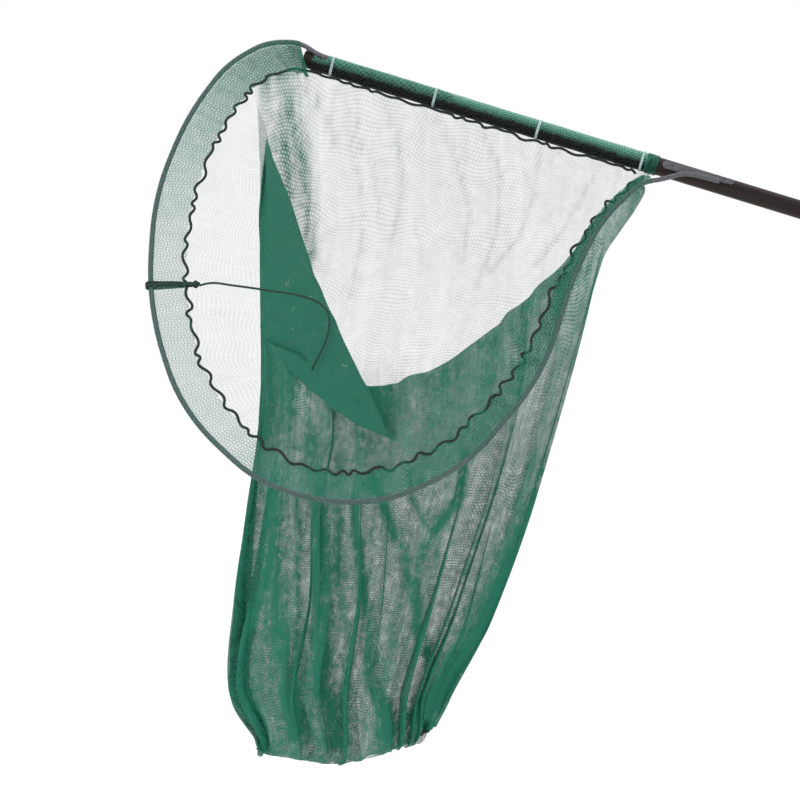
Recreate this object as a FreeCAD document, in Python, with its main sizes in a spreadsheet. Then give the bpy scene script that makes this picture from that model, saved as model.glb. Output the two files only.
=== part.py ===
"""Pond landing net: a round pole, a D-shaped bow of steel rod beside it, and a deep net bag.

Everything is drawn in the net's own frame and then turned to the slope at which the net is
held. In the net's frame +X runs back along the pole, +Z is away from the bag, and the bow
lies in a plane of its own that leans forward from the pole and touches the pole's front.
"""

import FreeCAD, Part
import math
import os

import Sketcher

V = FreeCAD.Vector
X_AXIS = V(1, 0, 0)
Y_AXIS = V(0, 1, 0)
Z_AXIS = V(0, 0, 1)
os.makedirs("parts", exist_ok=True)
doc = FreeCAD.newDocument("landing_net")

# ---------------------------------------------------------------- driving dimensions, mm and degrees
SIZES = (
    ("pole_diameter", 30, "round pole"),
    ("pole_length", 1450, "front end to butt"),
    ("butt_length", 150, "free length behind the grip, which is the origin"),
    ("pole_chamfer", 2, "on both ends of the pole"),
    ("pole_slope", 17.4, "how far the pole points down towards its butt"),
    ("bow_lean", 32, "how far the bow's plane leans forward from straight down"),
    ("mouth_width", 617, "straight side of the mouth, along the pole"),
    ("mouth_depth", 803, "pole's front to the far side of the bow"),
    ("rod_diameter", 8, "steel rod of the bow"),
    ("leg_past_tie", 19, "end of the rod's front leg behind the second cable tie"),
    ("tang_start", 624, "tang plate's front end from the pole's front end"),
    ("tang_length", 122, "tang plate"),
    ("tang_width", 14, "tang plate's front end"),
    ("tang_tip_width", 10, "tang plate's rear end"),
    ("tang_thickness", 3, "tang plate"),
    ("tang_skew", 2.5, "tang plate's turn away from the pole's line"),
    ("tang_drop", 4.5, "tang plate's front end below the line where the bow's plane meets the pole"),
    ("screw_diameter", 3.5, "wood screws of the tang plate"),
    ("screw_length", 16, "wood screws of the tang plate"),
    ("screw_head", 7, "countersunk head"),
    ("weld_radius", 2.2, "weld bead"),
    ("net_thickness", 1, "knotless net, wrapped tight"),
    ("border_thickness", 2, "net border, two layers"),
    ("sleeve_start", 14, "net sleeve's front edge from the pole's front end"),
    ("hem_length", 20, "doubled rear edge of the sleeve"),
    ("first_tie", 51, "front cable tie from the pole's front end"),
    ("last_tie", 590, "rear cable tie from the pole's front end"),
    ("tie_width", 4.2, "nylon cable tie"),
    ("tie_thickness", 1.2, "nylon cable tie"),
    ("tie_head", 6.5, "cable tie's square head"),
    ("tie_head_height", 4.9, "cable tie's square head"),
    ("lacing_diameter", 4.5, "lacing cord along the mouth"),
    ("lacing_pitch", 21, "half a wave of the lacing cord"),
    ("lacing_wave", 6, "how far the lacing cord waves"),
    ("cord_diameter", 3.5, "tie cord"),
    ("cord_clearance", 0.3, "between cords and what they pass"),
    ("knot_radius", 7, "knot of the tie cord"),
    ("end_knot_radius", 7, "knot at the bag's closed end"),
    ("bag_wall", 3, "bag, as a plain shell"),
    ("bag_gap", 3, "bag's edge behind the middle of the border"),
    ("bag_length", 1075, "pole to the bag's closed end, square to the pole"),
)

sheet = doc.addObject("Spreadsheet::Sheet", "sizes")
for row, (alias, value, meaning) in enumerate(SIZES, start=1):
    sheet.set(f"A{row}", meaning)
    sheet.set(f"B{row}", str(value))
    sheet.setAlias(f"B{row}", alias)
doc.recompute()
size = {alias: float(sheet.get(alias)) for alias, _, _ in SIZES}

pole_radius = size["pole_diameter"] / 2
rod_radius = size["rod_diameter"] / 2
grip_place = size["pole_length"] - size["butt_length"]
sleeve_radius = pole_radius + size["net_thickness"]
casing_radius = rod_radius + size["net_thickness"]
bow_height = pole_radius + rod_radius

# The cable ties keep their shares of the mouth's width, and the rod's leg reaches past the second.
DRAWN_WIDTH = 617
DRAWN_DEPTH = 803
TIE_COUNT = 4
across = size["mouth_width"] / DRAWN_WIDTH
down = size["mouth_depth"] / DRAWN_DEPTH
tie_step = (size["last_tie"] - size["first_tie"]) / (TIE_COUNT - 1)
tie_places = [(size["first_tie"] + number * tie_step) * across for number in range(TIE_COUNT)]
leg_length = tie_places[1] + size["leg_past_tie"]

# The net's frame starts at the pole's front end. The bow's frame shares that start: its X runs
# along the pole, its Y from the pole across the mouth, and its Z to the back.
held = FreeCAD.Placement(V(), FreeCAD.Rotation(Y_AXIS, size["pole_slope"]))
net_frame = held * FreeCAD.Placement(V(-grip_place, 0, 0), FreeCAD.Rotation())
bow_frame = net_frame * FreeCAD.Placement(V(), FreeCAD.Rotation(X_AXIS, -90 - size["bow_lean"]))

# ---------------------------------------------------------------- the outline of the bow
# Corners of the rod's runs in the bow's frame, on a bow 617 wide and 803 deep. Each corner is
# rounded as far as its runs allow, which gives the hand-bent D.
BOW_CORNERS = (
    (25, 0), (-12, -15), (-65, 5), (-112, 72), (-137, 193), (-135, 359), (-73, 563),
    (41, 725), (187, 801), (289, 803), (385, 768), (481, 669), (551, 468), (544, 281),
    (558, 150), (601, 54), (632, 37), (663, 10),
)
ROD_END = (722, 7)
FIRST_BORDER_CORNER = 2
# Width of the net border at the corners that it covers, from the front to the rear.
BORDER_WIDTHS = (57, 57, 57, 56, 54, 52, 50, 50, 48, 45, 34, 18, 12, 11)


def stretched(point):
    """A corner of the drawn bow at the mouth's present width and depth."""
    return V(point[0] * across, point[1] * down, -bow_height)


def rounded_edges(points, share):
    """Straight runs between points, joined by tangent arcs that use this share of each run."""
    edges = []
    radii = []
    start = points[0]
    for before, corner, after in zip(points, points[1:], points[2:]):
        back = (before - corner).normalize()
        ahead = (after - corner).normalize()
        half_turn = (math.pi - back.getAngle(ahead)) / 2
        reach = share * min(before.distanceToPoint(corner), after.distanceToPoint(corner))
        radius = reach / math.tan(half_turn)
        inward = (back + ahead).normalize()
        centre = corner + inward * math.hypot(radius, reach)
        arc_start = corner + back * reach
        arc_end = corner + ahead * reach
        edges.append(Part.LineSegment(start, arc_start).toShape())
        edges.append(Part.Arc(arc_start, centre - inward * radius, arc_end).toShape())
        radii.append(radius)
        start = arc_end
    edges.append(Part.LineSegment(start, points[-1]).toShape())
    return edges, radii


def tube(edges, radius, bore=0.0):
    """A round tube of that outer radius along the edges, solid or with a bore."""
    wire = Part.Wire(edges)
    start = edges[0].valueAt(edges[0].FirstParameter)
    ahead = edges[0].tangentAt(edges[0].FirstParameter)
    section = Part.Wire(Part.Circle(start, ahead, radius).toShape())
    solid = wire.makePipeShell([section], True, False)
    if bore:
        core = Part.Wire(Part.Circle(start, ahead, bore).toShape())
        solid = solid.cut(wire.makePipeShell([core], True, False))
    return solid


def offset_points(points, widths):
    """The corners moved into the mouth by their own widths, square to their two runs."""
    moved = []
    for index, width in enumerate(widths):
        before, corner, after = points[index : index + 3]
        ahead = ((corner - before).normalize() + (after - corner).normalize()).normalize()
        half_turn = (corner - before).getAngle(after - corner) / 2
        moved.append(corner + ahead.cross(Z_AXIS) * (width / math.cos(half_turn)))
    return moved


BOW_SHARE = 0.49
leg_end = V(leg_length, 0, -bow_height)
bow_points = [leg_end] + [stretched(p) for p in BOW_CORNERS] + [stretched(ROD_END)]
bow_edges, bow_radii = rounded_edges(bow_points, BOW_SHARE)
print("bow bend radii", [round(r) for r in bow_radii])

first = FIRST_BORDER_CORNER
count = len(BORDER_WIDTHS)
border_points = offset_points(bow_points[first : first + count + 2], BORDER_WIDTHS)


# ---------------------------------------------------------------- helpers for the pieces
pieces = []


def keep(piece, label, place=None):
    """Names a finished piece, and places it unless its expressions already do."""
    piece.Label = label
    if place is not None:
        piece.Placement = place
    pieces.append(piece)
    return piece


def feature(label, shape, place):
    """A piece whose shape is worked out here, in its own frame, and then placed."""
    piece = doc.addObject("Part::Feature", label)
    piece.Shape = shape.removeSplitter()
    return keep(piece, label, place)


def sketch(body, name, role, offset=0.0):
    """An empty sketch on one of the body's own origin planes, moved along its normal."""
    drawn = body.newObject("Sketcher::SketchObject", name)
    plane = next(f for f in body.Origin.OriginFeatures if f.Role == role)
    drawn.AttachmentSupport = [(plane, "")]
    drawn.MapMode = "FlatFace"
    drawn.AttachmentOffset = FreeCAD.Placement(V(0, 0, offset), FreeCAD.Rotation())
    return drawn


def circle(drawn, x, y, diameter, expression):
    """A circle whose diameter is bound to the sheet, fixed at its centre."""
    index = drawn.addGeometry(Part.Circle(V(x, y, 0), Z_AXIS, diameter / 2), False)
    bound = drawn.addConstraint(Sketcher.Constraint("Diameter", index, diameter))
    drawn.addConstraint(Sketcher.Constraint("DistanceX", index, 3, x))
    drawn.addConstraint(Sketcher.Constraint("DistanceY", index, 3, y))
    drawn.setExpression(f"Constraints[{bound}]", expression)


def pad(body, name, profile, expression, reversed_way=False):
    """A pad of the profile whose length is bound to the sheet."""
    made = body.newObject("PartDesign::Pad", name)
    made.Profile = profile
    made.setExpression("Length", expression)
    made.Reversed = reversed_way
    return made


# ---------------------------------------------------------------- tang plate and its screws
# The plate is drawn in a frame of its own: X along the plate from its front end, Z into the pole.
tang_front = V(size["tang_start"] * across, size["tang_drop"], -pole_radius)
tang_frame = bow_frame * FreeCAD.Placement(
    tang_front, FreeCAD.Rotation(Z_AXIS, -size["tang_skew"])
)
in_bow = bow_frame.inverse() * tang_frame
SCREW_SHARES = (0.14, 0.86)
screw_places = [size["tang_length"] * share for share in SCREW_SHARES]


def both_screws():
    """Both screws in the tang plate's frame, heads flush with the plate's outer face."""
    shank_radius = size["screw_diameter"] / 2
    head_depth = (size["screw_head"] - size["screw_diameter"]) / 2
    solids = []
    for place in screw_places:
        top = V(place, 0, -size["tang_thickness"])
        head = Part.makeCone(size["screw_head"] / 2, shank_radius, head_depth, top, Z_AXIS)
        shank = Part.makeCylinder(shank_radius, size["screw_length"], top, Z_AXIS)
        solids.append(head.fuse(shank).removeSplitter())
    return solids


def drive_slot(place):
    """The cross recess in a screw's head."""
    slot_width = 1.0
    slot_length = 4.2
    slot_depth = 0.8
    arms = []
    for angle in (0, 90):
        arm = Part.makeBox(slot_length, slot_width, slot_depth, V(-slot_length / 2, -slot_width / 2, 0))
        arm.rotate(V(), Z_AXIS, angle)
        arm.translate(V(place, 0, -size["tang_thickness"]))
        arms.append(arm)
    return arms[0].fuse(arms[1])


# ---------------------------------------------------------------- pole
# Turned hardwood, chamfered at both ends and drilled for the two tang screws.
pole_body = doc.addObject("PartDesign::Body", "handle_pole_blank")
pole_section = sketch(pole_body, "pole_section", "YZ_Plane")
circle(pole_section, 0, 0, size["pole_diameter"], "sizes.pole_diameter")
pole_pad = pad(pole_body, "pole_pad", pole_section, "sizes.pole_length")
doc.recompute()
rims = [
    f"Edge{index}" for index, edge in enumerate(pole_pad.Shape.Edges, start=1)
    if edge.Curve.TypeId == "Part::GeomCircle"
]
pole_chamfer = pole_body.newObject("PartDesign::Chamfer", "pole_chamfer")
pole_chamfer.Base = (pole_pad, rims)
pole_chamfer.setExpression("Size", "sizes.pole_chamfer")
doc.recompute()
pole_body.Placement = net_frame
pilot_holes = doc.addObject("Part::Feature", "tang_pilot_holes")
pilot_holes.Shape = Part.makeCompound(both_screws())
pilot_holes.Placement = tang_frame
pole = doc.addObject("Part::Cut", "handle_pole")
pole.Base = pole_body
pole.Tool = pilot_holes
keep(pole, "handle_pole")

# ---------------------------------------------------------------- bow rod
rod = tube(bow_edges, rod_radius)
feature("bow_rod", rod, bow_frame)

# ---------------------------------------------------------------- tang plate
plate_body = doc.addObject("PartDesign::Body", "tang_plate_blank")
plate_sketch = sketch(plate_body, "plate_outline", "XY_Plane")
front_half = size["tang_width"] / 2
tip_half = size["tang_tip_width"] / 2
tip_place = size["tang_length"] - tip_half
outline = (
    Part.Arc(V(front_half, front_half, 0), V(0, 0, 0), V(front_half, -front_half, 0)),
    Part.LineSegment(V(front_half, -front_half, 0), V(tip_place, -tip_half, 0)),
    Part.Arc(V(tip_place, -tip_half, 0), V(size["tang_length"], 0, 0), V(tip_place, tip_half, 0)),
    Part.LineSegment(V(tip_place, tip_half, 0), V(front_half, front_half, 0)),
)
for curve in outline:
    plate_sketch.addGeometry(curve, False)
pad(plate_body, "plate_pad", plate_sketch, "sizes.tang_thickness", True)
doc.recompute()
plate_body.Placement = tang_frame
rod_and_screws = doc.addObject("Part::Feature", "rod_and_screws")
in_plate = in_bow.inverse()
rod_in_plate = rod.copy()
rod_in_plate.transformShape(in_plate.toMatrix())
rod_and_screws.Shape = rod_in_plate.fuse(both_screws())
rod_and_screws.Placement = tang_frame
plate = doc.addObject("Part::Cut", "tang_plate")
plate.Base = plate_body
plate.Tool = rod_and_screws
keep(plate, "tang_plate")

screws = [solid.cut(drive_slot(place)) for solid, place in zip(both_screws(), screw_places)]
feature("tang_screws", Part.makeCompound(screws), tang_frame)

# The bead lies in the corner between the rod and the plate's outer face.
WELD_SHARES = (0.45, 0.78)
weld_ends = [size["tang_length"] * share for share in WELD_SHARES]
rod_line = [in_plate.multVec(bow_points[-2]), in_plate.multVec(bow_points[-1])]


def beside_rod(place):
    """A point on the rod's upper flank at that distance along the plate."""
    share = (place - rod_line[0].x) / (rod_line[1].x - rod_line[0].x)
    middle = rod_line[0] + (rod_line[1] - rod_line[0]) * share
    return V(place, middle.y - rod_radius, -size["tang_thickness"] - size["weld_radius"] / 3)


bead_start = beside_rod(weld_ends[0])
bead_run = beside_rod(weld_ends[1]) - bead_start
bead = Part.makeCylinder(size["weld_radius"], bead_run.Length, bead_start, bead_run)
bead = bead.cut(rod_in_plate)
plate_and_under = Part.makeBox(
    size["tang_length"], size["pole_diameter"], size["tang_thickness"],
    V(0, -pole_radius, -size["tang_thickness"]),
)
feature("tang_weld", bead.cut(plate_and_under), tang_frame)

# ---------------------------------------------------------------- sleeve, hem and cable ties
# The sleeve is net wrapped round the pole. It also covers the rod's leg, from just behind the
# place where the rod comes down onto the pole to a little past the leg's end.
sleeve_end = size["mouth_width"]
sleeve_length = sleeve_end - size["sleeve_start"]
COVER_START = 34
COVER_PAST_LEG = 6
sleeve = Part.makeCylinder(sleeve_radius, sleeve_length, V(size["sleeve_start"], 0, 0), X_AXIS)
front_way = V(0, -math.cos(math.radians(size["bow_lean"])), math.sin(math.radians(size["bow_lean"])))
leg_cover = Part.makeCylinder(
    casing_radius,
    leg_length + COVER_PAST_LEG - COVER_START,
    V(COVER_START, 0, 0) + front_way * bow_height,
    X_AXIS,
)
pole_core = Part.makeCylinder(pole_radius, size["pole_length"], V(), X_AXIS)
rod_in_net = rod.copy()
rod_in_net.transformShape((net_frame.inverse() * bow_frame).toMatrix())
sleeve = sleeve.fuse(leg_cover).cut(pole_core).cut(rod_in_net)
feature("pole_sleeve", sleeve, net_frame)

hem_body = doc.addObject("PartDesign::Body", "sleeve_hem")
hem_section = sketch(hem_body, "hem_section", "YZ_Plane")
circle(hem_section, 0, 0, 2 * sleeve_radius, "sizes.pole_diameter + 2 * sizes.net_thickness")
circle(
    hem_section, 0, 0, 2 * sleeve_radius + 2 * size["net_thickness"],
    "sizes.pole_diameter + 4 * sizes.net_thickness",
)
pad(hem_body, "hem_pad", hem_section, "sizes.hem_length")
hem_start = FreeCAD.Placement(V(sleeve_end - size["hem_length"], 0, 0), FreeCAD.Rotation())
keep(hem_body, "sleeve_hem", net_frame * hem_start)

TIE_HEAD_FILLET = 0.8
# The heads sit at the back, each a little further round from the top than the one before it.
FIRST_HEAD_ANGLE = 105
HEAD_ANGLE_STEP = 8


def strap_outline(extra, over_leg):
    """The face inside a strap: the sleeve's circle, drawn out round the rod's leg if there is one."""
    big = sleeve_radius + extra
    small = casing_radius + extra
    if not over_leg:
        return Part.Face(Part.Wire(Part.Circle(V(), X_AXIS, big).toShape()))
    leg_centre = front_way * bow_height
    lean_in = math.asin((big - small) / bow_height)
    side_way = X_AXIS.cross(front_way)
    left = front_way * math.sin(lean_in) + side_way * math.cos(lean_in)
    right = front_way * math.sin(lean_in) - side_way * math.cos(lean_in)
    leg_left = leg_centre + left * small
    leg_right = leg_centre + right * small
    edges = [
        Part.Arc(left * big, front_way * -big, right * big).toShape(),
        Part.LineSegment(right * big, leg_right).toShape(),
        Part.Arc(leg_right, leg_centre + front_way * small, leg_left).toShape(),
        Part.LineSegment(leg_left, left * big).toShape(),
    ]
    return Part.Face(Part.Wire(edges))


for number, place in enumerate(tie_places):
    over_leg = place < leg_length
    outer = strap_outline(size["tie_thickness"], over_leg)
    inner = strap_outline(0.0, over_leg)
    strap = outer.extrude(X_AXIS * size["tie_width"]).cut(inner.extrude(X_AXIS * size["tie_width"]))
    head = Part.makeBox(size["tie_head"], size["tie_head"], size["tie_head_height"])
    head = head.makeFillet(TIE_HEAD_FILLET, head.Edges)
    head_base = sleeve_radius + size["tie_thickness"] / 2
    head.translate(V((size["tie_width"] - size["tie_head"]) / 2, -size["tie_head"] / 2, head_base))
    head.rotate(V(), X_AXIS, -FIRST_HEAD_ANGLE - HEAD_ANGLE_STEP * number)
    strap = strap.fuse(head)
    tie_place = FreeCAD.Placement(V(place - size["tie_width"] / 2, 0, 0), FreeCAD.Rotation())
    feature(f"cable_tie_{number + 1}", strap, net_frame * tie_place)

# ---------------------------------------------------------------- casing of net on the bow
# The border net is folded over the rod: a snug tube round it, and a flat border into the mouth.
BORDER_PAST_CORNER = 28
edges_before = 2 * first - 1
casing_edges = bow_edges[edges_before + 1 : edges_before + 1 + 2 * count]
casing_tube = tube(casing_edges, casing_radius, rod_radius)
forward = (bow_points[first] - bow_points[first + 1]).normalize()
border_run = [border_points[0] + forward * BORDER_PAST_CORNER] + border_points
casing_first = casing_edges[0].valueAt(casing_edges[0].FirstParameter)
casing_last = casing_edges[-1].valueAt(casing_edges[-1].LastParameter)
border_edges, _ = rounded_edges(border_run, BOW_SHARE)
closing = [
    Part.LineSegment(casing_first, border_run[0]).toShape(),
    Part.LineSegment(border_points[-1], casing_last).toShape(),
]
border_wire = Part.Wire(Part.__sortEdges__(casing_edges + border_edges + closing))
border_face = Part.Face(border_wire)
border = border_face.extrude(V(0, 0, size["border_thickness"]))
border.translate(V(0, 0, -size["border_thickness"] / 2))
casing = casing_tube.fuse(border).cut(rod)
feature("bow_casing", casing, bow_frame)

# ---------------------------------------------------------------- lacing cord round the mouth
# One cord, laced through the edge of the border and of the sleeve. It waves between its stitches,
# runs under the sleeve a little in front of its middle, and stops just before the sleeve's end.
lacing_radius = size["lacing_diameter"] / 2
LACING_FORWARD = 6
LACING_START = -2
LACING_END_GAP = 12


def wave(index):
    """How far one turn of the cord stands off the edge that it laces, as uneven as hand work."""
    uneven = 0.75 + 0.25 * math.sin(2.3 * index)
    return size["lacing_wave"] * uneven * (index % 2)


edge_line = Part.Wire(border_edges)
stitches = round(edge_line.Length / size["lacing_pitch"])
edge_places = edge_line.discretize(Number=stitches)
off_edge = lacing_radius + size["cord_clearance"]
bow_lacing = []
for index in range(1, stitches - 1):
    ahead = (edge_places[index + 1] - edge_places[index - 1]).normalize()
    bow_lacing.append(edge_places[index] + ahead.cross(Z_AXIS) * (off_edge + wave(index)))

under_sleeve = sleeve_radius + size["tie_thickness"] + lacing_radius + size["cord_clearance"]
straight_stitches = round((sleeve_end - LACING_END_GAP - LACING_START) / size["lacing_pitch"])
to_bow = bow_frame.inverse() * net_frame
pole_lacing = []
for index in range(straight_stitches + 1):
    place = LACING_START + index * size["lacing_pitch"]
    pole_lacing.append(to_bow.multVec(V(place, -LACING_FORWARD, -under_sleeve - wave(index + 1))))
lacing_points = bow_lacing[::-1] + pole_lacing
CORD_SHARE = 0.45
lacing_edges, lacing_radii = rounded_edges(lacing_points, CORD_SHARE)
lacing = tube(lacing_edges, lacing_radius)
feature("lacing_cord", lacing, bow_frame)
print("lacing radii", round(min(lacing_radii), 1), "to", round(max(lacing_radii), 1))

# ---------------------------------------------------------------- tie cord
# Two turns round the cased rod, over and under the border, and a knot inside the lacing cord.
cord_radius = size["cord_diameter"] / 2
KNOT_STEP = 59
BOW_STEPS = 200
TIE_BORDER_CORNER = 4
KNOT_SPREAD = 0.6
KNOT_EXIT = 0.9
bow_places = Part.Wire(casing_edges).discretize(Number=BOW_STEPS + 1)
tie_along = (bow_places[KNOT_STEP + 1] - bow_places[KNOT_STEP - 1]).normalize()
tie_inward = tie_along.cross(Z_AXIS)
border_there = BORDER_WIDTHS[TIE_BORDER_CORNER]
knot_reach = border_there + size["lacing_diameter"] + size["lacing_wave"] + size["knot_radius"]
knot_place = bow_places[KNOT_STEP] + tie_inward * knot_reach
turn_radius = casing_radius + cord_radius
turn_offset = cord_radius + size["cord_clearance"]
spread = size["knot_radius"] * KNOT_SPREAD
knot = Part.makeSphere(size["knot_radius"], knot_place)
turns = []
for side in (-1, 1):
    centre = bow_places[KNOT_STEP] + tie_along * (side * turn_offset)
    over = Z_AXIS * turn_radius
    at_knot = knot_place + tie_along * (side * turn_offset)
    turn_edges = [
        Part.LineSegment(at_knot + Z_AXIS * spread, centre + over).toShape(),
        Part.Arc(centre + over, centre - tie_inward * turn_radius, centre - over).toShape(),
        Part.LineSegment(centre - over, at_knot - Z_AXIS * spread).toShape(),
    ]
    turns.append(tube(turn_edges, cord_radius).cut(knot))
feature("tie_cord_loop", Part.makeCompound(turns), bow_frame)
feature("tie_cord_knot", knot, bow_frame)

# The free tail runs across the mouth, over a fold of the bag, and hangs down behind it.
# Its points are counted from the knot's middle, level and plumb as the net is held.
TAIL_ROUTE = (
    (21, 4, 4), (52, 10, -1), (84, 20, -5), (117, 32, -10), (149, 44, -14), (176, 57, -21),
    (196, 63, -32), (205, 68, -50), (203, 73, -72), (195, 77, -95), (184, 80, -116), (174, 81, -135),
)
knot_in_place = bow_frame.multVec(knot_place)
knot_exit = bow_frame.multVec(knot_place + tie_inward * (size["knot_radius"] * KNOT_EXIT))
tail_points = [knot_exit] + [knot_in_place + V(*point) for point in TAIL_ROUTE]
print("knot", [round(number, 1) for number in knot_in_place])
tail_edges, tail_radii = rounded_edges(tail_points, CORD_SHARE)
knot_in_row = knot.copy()
knot_in_row.transformShape(bow_frame.toMatrix())
tail = tube(tail_edges, cord_radius).cut(knot_in_row)
feature("tie_cord_tail", tail, FreeCAD.Placement())
tail_length = Part.Wire(tail_edges).Length
print("tail radii", [round(r) for r in tail_radii], "length", round(tail_length))
section_area = math.pi * cord_radius ** 2
print("tail volume", round(tail.Volume), "section times length", round(section_area * tail_length))

# ---------------------------------------------------------------- bag
# A plain shell with the bag's true outer shape. It hangs plumb, and its mouth is open along the
# border. Each section is drawn at its own depth below the pole and turns level towards the bottom.
lean = math.radians(size["bow_lean"])
mouth_height = bow_height - size["bag_gap"]
MOUTH_PAST = 40
BEYOND = 1500
full_rise = math.tan(math.radians(size["pole_slope"]))


def mouth_front(depth):
    """Where the mouth's plane stands at that depth below the pole, along the net frame's Y."""
    return -(depth + mouth_height * math.sin(lean)) * math.tan(lean) - mouth_height * math.cos(lean)


# depth, left and right ends, widest left and right, back, front beyond the mouth (None) or
# the front wall's place, and how level the section lies
SECTIONS = (
    (32, 2, 590, 6, 592, 8, None, 0.0),
    (130, -62, 552, -20, 592, 12, None, 0.0),
    (300, -62, 540, 20, 592, 10, None, 0.1),
    (470, 0, 500, 70, 592, -5, None, 0.2),
    (620, 110, 420, 120, 590, -25, -452, 0.3),
    (760, 150, 560, 150, 590, -50, -400, 0.6),
    (900, 190, 575, 190, 575, -75, -350, 1.0),
    (1075, 250, 520, 250, 520, -120, -290, 1.0),
)
SECTION_MIDDLE = 390


def bag_section(values, inset):
    """One closed section of the bag with rounded corners, moved in by the wall's thickness."""
    depth, left, right, wide_left, wide_right, back, front, level = values
    depth = depth * down
    side = mouth_front(depth) if front is None else (front + back) / 2
    ahead = mouth_front(depth) - MOUTH_PAST if front is None else front
    third = (wide_right - wide_left) / 3
    corners = [
        (left + inset, side), (wide_left + inset, (side + back) / 2),
        (wide_left + third, back - inset), (wide_right - third, back - inset),
        (wide_right - inset, (side + back) / 2), (right - inset, side),
        (right - third / 2, ahead + inset), (left + third / 2, ahead + inset),
    ]
    points = []
    for place, forward in corners:
        rise = level * full_rise * (place - SECTION_MIDDLE)
        points.append(V(place * across, forward, rise - depth))
    seam = (points[0] + points[-1]) / 2
    edges, _ = rounded_edges([seam] + points + [seam], CORD_SHARE)
    return Part.Wire(edges)


def bag_body(inset, last_depth):
    """The bag's solid shape through its sections, as a whole or as its inside."""
    sections = list(SECTIONS)
    sections[-1] = (last_depth,) + sections[-1][1:]
    sections[0] = (sections[0][0] + inset,) + sections[0][1:]
    return Part.makeLoft([bag_section(values, inset) for values in sections], True, True)


bag_outside = bag_body(0.0, size["bag_length"])
bag_inside = bag_body(size["bag_wall"], size["bag_length"] - size["bag_wall"])
before_mouth = Part.makeBox(
    2 * BEYOND, 2 * BEYOND, BEYOND, V(-BEYOND, -BEYOND, -BEYOND - mouth_height)
)
round_rod = tube(bow_edges, casing_radius + size["cord_clearance"])
round_knot = Part.makeSphere(size["knot_radius"] + size["cord_clearance"], knot_place)
not_bag = before_mouth.fuse([round_rod, round_knot])
not_bag.transformShape((net_frame.inverse() * bow_frame).toMatrix())
feature("net_bag", bag_outside.cut(bag_inside).cut(not_bag), net_frame)

# The knot that gathers the bag's closed end at its front corner.
END_KNOT_PLACE = 300
END_KNOT_FORWARD = 205
end_knot = doc.addObject("Part::Sphere", "bag_end_knot")
end_knot.setExpression("Radius", "sizes.end_knot_radius")
closed_end = size["bag_length"] * down + full_rise * (SECTION_MIDDLE - END_KNOT_PLACE)
knot_spot = FreeCAD.Placement(
    V(
        END_KNOT_PLACE * across, -END_KNOT_FORWARD,
        -closed_end - size["end_knot_radius"] - size["cord_clearance"],
    ),
    FreeCAD.Rotation(),
)
keep(end_knot, "bag_end_knot", net_frame * knot_spot)

# ---------------------------------------------------------------- checks and export
doc.recompute()
for thing in doc.Objects:
    if {"Invalid", "Error"} & set(thing.State):
        raise RuntimeError(f"{thing.Label} failed: {thing.State}")
for piece in pieces:
    if piece.Shape.isNull() or not piece.Shape.isValid():
        raise RuntimeError(f"{piece.Label} has no valid shape")
    piece.Shape.exportStep(f"parts/{piece.Label}.step")
    print(piece.Label, len(piece.Shape.Solids), "solid(s),", round(piece.Shape.Volume), "mm3")
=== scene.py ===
import math
import random

import bpy
import numpy as np
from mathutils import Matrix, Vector


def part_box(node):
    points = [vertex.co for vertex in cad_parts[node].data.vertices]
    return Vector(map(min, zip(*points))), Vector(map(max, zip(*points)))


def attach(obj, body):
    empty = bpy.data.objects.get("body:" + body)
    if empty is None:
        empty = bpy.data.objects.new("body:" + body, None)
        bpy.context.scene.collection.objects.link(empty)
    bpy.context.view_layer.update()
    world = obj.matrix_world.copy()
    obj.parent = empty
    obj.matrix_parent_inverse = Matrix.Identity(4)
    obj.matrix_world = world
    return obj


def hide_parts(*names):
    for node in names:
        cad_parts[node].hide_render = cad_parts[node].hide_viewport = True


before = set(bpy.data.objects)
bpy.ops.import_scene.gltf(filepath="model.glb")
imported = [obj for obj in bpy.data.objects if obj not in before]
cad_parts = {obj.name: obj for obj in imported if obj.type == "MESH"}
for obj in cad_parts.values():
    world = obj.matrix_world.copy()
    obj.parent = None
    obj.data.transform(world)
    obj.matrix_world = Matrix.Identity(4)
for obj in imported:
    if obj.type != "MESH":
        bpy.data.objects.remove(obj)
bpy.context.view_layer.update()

# ---------- studio
# A white paper floor under white air, three soft lamps, and a camera level with the mouth.
# Everything is in metres. The camera and the cord come first.
MM = 0.001
scene = bpy.context.scene
scene.view_settings.view_transform = "Standard"


def linear(hex_colour):
    """An sRGB hex colour as linear RGBA."""
    channels = [int(hex_colour[place:place + 2], 16) / 255 for place in (1, 3, 5)]
    return [c / 12.92 if c <= 0.04045 else ((c + 0.055) / 1.055) ** 2.4 for c in channels] + [1.0]


def add_node(tree, kind, links=None, **settings):
    """Adds a node to the tree, sets its inputs and properties, and links its inputs."""
    made = tree.nodes.new("ShaderNode" + kind)
    for key, value in settings.items():
        if key in made.inputs:
            made.inputs[key].default_value = value
        else:
            setattr(made, key, value)
    for socket, source in (links or {}).items():
        tree.links.new(source, made.inputs[socket])
    return made


def new_material(name, **surface):
    """A Principled material, its tree and its shader node."""
    material = bpy.data.materials.new(name)
    material.use_nodes = True
    shader = material.node_tree.nodes["Principled BSDF"]
    for key, value in surface.items():
        shader.inputs[key.replace("_", " ")].default_value = value
    return material, material.node_tree, shader


CAMERA_PLACE = (-0.6437, -4.981, -0.1827)
CAMERA_TURN = 5.0
CAMERA_LENS = 135
camera_data = bpy.data.cameras.new("camera")
camera_data.lens = CAMERA_LENS
camera = bpy.data.objects.new("camera", camera_data)
camera.location = CAMERA_PLACE
camera.rotation_euler = (math.radians(90), 0, math.radians(CAMERA_TURN))
scene.collection.objects.link(camera)
scene.camera = camera

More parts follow.
